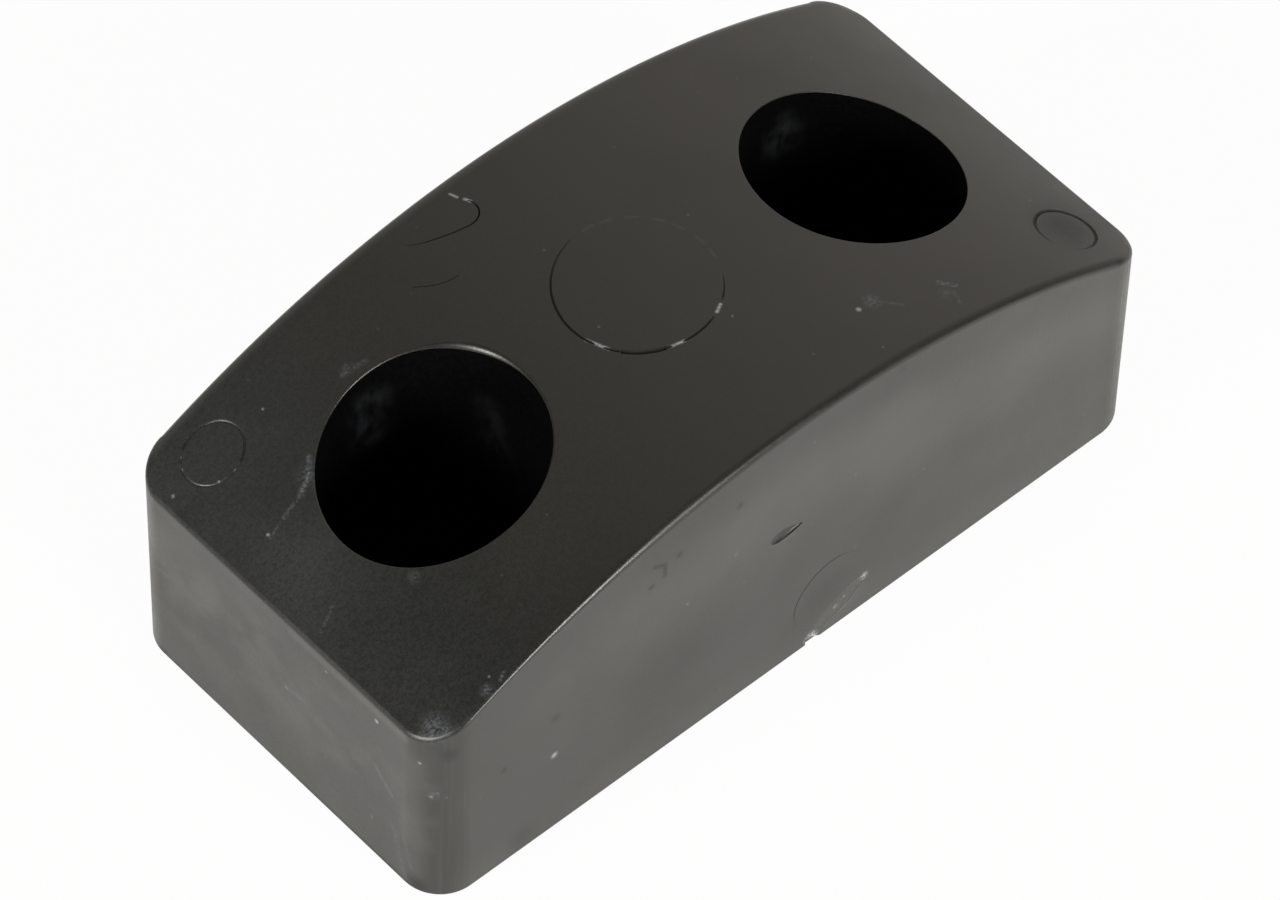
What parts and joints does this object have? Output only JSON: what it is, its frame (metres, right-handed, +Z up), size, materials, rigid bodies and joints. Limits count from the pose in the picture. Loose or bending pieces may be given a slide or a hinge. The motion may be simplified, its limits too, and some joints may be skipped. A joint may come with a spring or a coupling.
{
  "type": "chain tensioner block",
  "caption": "Solid black plastic chain tensioner block with a flat base, an arched face for the chain to slide over and stepped bolt holes sunk into the arch.",
  "frame": {"origin": "centre of the flat base", "axes": "+X along the chain, +Y across it, +Z up from the base to the crown of the arch"},
  "size_m": [0.103, 0.05, 0.0415],
  "materials": {
    "black_plastic": "satin black moulding, slightly scuffed"
  },
  "bodies": {
    "root": {"tensioner_block": "black_plastic"}
  },
  "joints": []
}
